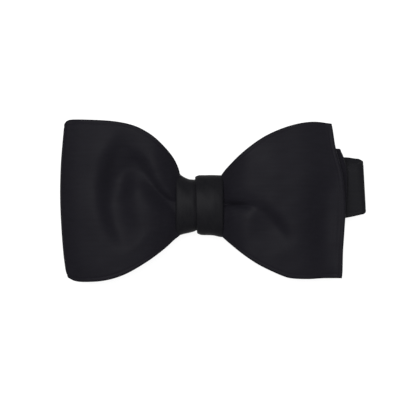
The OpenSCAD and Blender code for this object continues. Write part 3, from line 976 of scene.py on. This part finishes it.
fold_strap("outer_fold", ("bow", "band_middle"), ply_end(fixed_centres, fixed_across, True),
           ply_end(middle_centres, middle_across, False), FOLD_BULGE, HEM_DROP, FOLD_SKEW)
fold_strap("inner_fold", ("band_middle", "band_end"), ply_end(middle_centres, middle_across, True),
           (in_band(INNER_U, END_Z), ACROSS, -ALONG))

HOOK_LEG = 4
LOOP_U = HOOK_U - HOOK_LEG
# Distances from a stretch's own ends of the two points that it is given as bend
FOLD_CLEAR, LOOP_CLEAR, TAIL_CLEAR = 6, 2, 12


def stretch(name, bodies, path, start, end, pitch=2.5, ends=(True, True)):
    """A straight stretch of strap along the band."""
    strap(name, name, None, *straight(path, pitch), ends=ends,
          bend=(*bodies, tuple(in_band(*start) * MM), tuple(in_band(*end) * MM)))


stretch("band_end", ("band_end", "hook_loop"), [(INNER_U, END_Z), (LOOP_U, END_Z)],
        (INNER_U + FOLD_CLEAR, END_Z), (LOOP_U - LOOP_CLEAR, END_Z))
strap("hook_loop", "hook_loop", "hook_loop",
      *straight([(LOOP_U, TAIL_Z)] + turn(HOOK_U, hook_bar[2], hook_bar[2] - TAIL_Z, 1)
                + [(LOOP_U, END_Z)], LOOP_PITCH))

# Height of the slide's bar, and the same distances for the end that is turned round it
SLIDE_BAR_Z = 1.8
SLIDE_FLAT = 1
SLIDE_OFF, SLIDE_CLOSE, SLIDE_LEG = (1.5, 1), (3.5, 0.3), 10
TAIL_LEG_Z = TAIL_Z + BAND_T + SLIDE_GAP
tail_loop = [
    (SLIDE_U + SLIDE_FLAT, TAIL_Z), (SLIDE_U + SLIDE_FLAT / 2, TAIL_Z),
    *turn(SLIDE_U, SLIDE_BAR_Z, SLIDE_BAR_Z - TAIL_Z, -1),
    (SLIDE_U + SLIDE_OFF[0], TAIL_LEG_Z + SLIDE_OFF[1]),
    (SLIDE_U + SLIDE_CLOSE[0], TAIL_LEG_Z + SLIDE_CLOSE[1]),
    (SLIDE_U + TURN_FLAT, TAIL_LEG_Z), (SLIDE_U + SLIDE_LEG, TAIL_LEG_Z)]
stretch("band_tail", ("hook_loop", "adjuster"),
        [(LOOP_U, TAIL_Z), (SLIDE_U + SLIDE_FLAT, TAIL_Z)],
        (LOOP_U - LOOP_CLEAR, TAIL_Z), (SLIDE_U + TAIL_CLEAR, TAIL_Z))
strap("tail_loop", None, "adjuster", *straight(tail_loop, pitch=0.7), ends=(True, False))

# ---- thread ---------------------------------------------------------------------

THREAD_RINGS, THREAD_SIDES = 9, 8
# How blunt a thread's ends are, and the least of its section that is left there
BLUNT, END_SHARE = 8, 0.02
# A direction that no thread runs in
ASIDE = [0.3, 0.2, 1.0]


def thread_run(route, radius):
    """Rings of points round a short length of thread with rounded ends."""
    centre = along(spline(route, 6), np.linspace(0, 1, THREAD_RINGS))
    shrink = 1 - np.linspace(-1, 1, THREAD_RINGS) ** BLUNT
    swell = radius * np.sqrt(np.clip(shrink, END_SHARE, 1))
    heading = np.gradient(centre, axis=0)
    heading /= np.linalg.norm(heading, axis=1, keepdims=True)
    side = np.cross(heading, ASIDE)
    side /= np.linalg.norm(side, axis=1, keepdims=True)
    other = np.cross(heading, side)
    angle = np.linspace(0, 2 * math.pi, THREAD_SIDES, endpoint=False)
    ring = (side[:, None] * np.cos(angle)[None, :, None]
            + other[:, None] * np.sin(angle)[None, :, None])
    return centre[:, None] + ring * swell[:, None, None]


def threads(name, runs, radius, body, node):
    """All the runs of one row of stitches, as one piece."""
    points, faces, first = [], [], 0
    for route in runs:
        grid = thread_run(route, radius)
        index = np.arange(grid.shape[0] * grid.shape[1]).reshape(grid.shape[:2]) + first
        points.append(grid.reshape(-1, 3))
        faces += [[list(map(int, f))] for f in quads(index, ring=True)]
        faces += [[list(map(int, index[0]))], [list(map(int, index[-1][::-1]))]]
        first += index.size
    piece = mesh_piece(name, np.vstack(points), faces, THREAD)
    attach(piece, body)
    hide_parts(node)


def hump(start, end, lift):
    """Route of one stitch between two points, raised in the middle."""
    middle = (np.array(start) + np.array(end)) / 2 + np.array([0, 0, lift])
    return [start, tuple(middle), end]


# Slip stitches across the wrap's seam at the knot's back
SLIP_COUNT, SLIP_START, SLIP_PITCH = 8, -8.4, 2.4
SLIP_REACH, SLIP_SLANT, SLIP_RISE, SLIP_GAP, SLIP_R = 1.1, 1.3, -0.5, 0.1, 0.16
SLIP_Z = KNOT_BACK_Z - SLIP_GAP

knot_stitches = []
for i in range(SLIP_COUNT):
    x = SLIP_START + SLIP_PITCH * i
    knot_stitches.append(hump((x, -SLIP_REACH, SLIP_Z), (x + SLIP_SLANT, SLIP_REACH, SLIP_Z),
                              SLIP_RISE))
threads("knot_back_thread", knot_stitches, SLIP_R, "bow", "knot_back_stitches")

# Close stitches across the strap: their count, where they start and their pitch across it, half
# their length along it, how far they slant and rise, and their radius
TACK_COUNT, TACK_START, TACK_PITCH = 24, -9.2, 0.8
TACK_REACH, TACK_SLANT, TACK_RISE, TACK_R = 1.1, 0.4, 0.2, 0.15
# Distance of the stitches from the bar that the strap's end is turned round
TAIL_TACK, RING_TACK = 8, 6.4


def bartack(u, z, lift):
    """Routes of a row of close stitches that runs across the strap."""
    runs = []
    for i in range(TACK_COUNT):
        v = TACK_START + TACK_PITCH * i
        runs.append([tuple(in_band(u - TACK_REACH, z, v)),
                     tuple(in_band(u, z + lift, v + TACK_SLANT / 2)),
                     tuple(in_band(u + TACK_REACH, z, v + TACK_SLANT))])
    return runs


threads("tail_bartack_thread", bartack(SLIDE_U + TAIL_TACK, TAIL_LEG_Z + BAND_T / 2, TACK_RISE),
        TACK_R, "adjuster", "tail_bartack")
threads("ring_bartack_thread", bartack(RING_U + RING_TACK, ring_leg_z - BAND_T / 2, -TACK_RISE),
        TACK_R, "bow", "ring_bartack")

for node in ("adjuster_slide", "closing_hook", "eye_ring"):
    part = frame["nodes"][node]
    part.data.materials.clear()
    part.data.materials.append(ENAMEL)

# ---- floor, light and camera ----------------------------------------------------


def backdrop(name, colour, glow):
    """White sweep that is lit from below as well, so shadows on it stay faint."""
    material, tree, shader = new_material(name)
    shader.inputs["Base Color"].default_value = (*colour, 1)
    shader.inputs["Roughness"].default_value = 0.9
    shader.inputs["Specular IOR Level"].default_value = 0.1
    shader.inputs["Emission Color"].default_value = (1, 1, 1, 1)
    shader.inputs["Emission Strength"].default_value = glow
    return material


FLOOR_SIZE = 3.0
FLOOR_GAP = 0.0003
bpy.ops.mesh.primitive_plane_add(size=FLOOR_SIZE, location=(0, 0, -FLOOR_GAP))
floor = bpy.context.object
floor.name = "floor"
floor.data.materials.append(backdrop("floor_white", colour=(0.2, 0.2, 0.2), glow=0.88))

WORLD_STRENGTH = 0.25
world = bpy.data.worlds.new("studio")
bpy.context.scene.world = world
world.use_nodes = True
world.node_tree.nodes["Background"].inputs["Color"].default_value = (1, 1, 1, 1)
world.node_tree.nodes["Background"].inputs["Strength"].default_value = WORLD_STRENGTH


def softbox(name, place, size, power):
    """A square soft light that faces the origin, in metres and watts."""
    lamp = bpy.data.lights.new(name, "AREA")
    lamp.shape = "SQUARE"
    lamp.size = size
    lamp.energy = power
    lamp_object = bpy.data.objects.new(name, lamp)
    bpy.context.scene.collection.objects.link(lamp_object)
    lamp_object.location = place
    lamp_object.rotation_euler = (-Vector(place)).to_track_quat("-Z", "Y").to_euler()


softbox("key", place=(-0.12, 0.24, 1.15), size=0.7, power=18)
softbox("fill", place=(0.50, -0.35, 1.00), size=0.8, power=2)

# The camera looks straight down. The view's width is what it sees at the height of the bow's face
VIEW_CENTRE = (3.44 * MM, -1.08 * MM)
VIEW_WIDTH = 178.9 * MM
VIEW_HEIGHT = 0.9
FACE_HEIGHT = 18 * MM
SENSOR = 36
camera_data = bpy.data.cameras.new("camera")
camera_data.sensor_width = SENSOR
camera_data.lens = SENSOR * (VIEW_HEIGHT - FACE_HEIGHT) / VIEW_WIDTH
camera = bpy.data.objects.new("camera", camera_data)
bpy.context.scene.collection.objects.link(camera)
camera.location = (*VIEW_CENTRE, VIEW_HEIGHT)
bpy.context.scene.camera = camera
bpy.context.scene.view_settings.view_transform = "Standard"
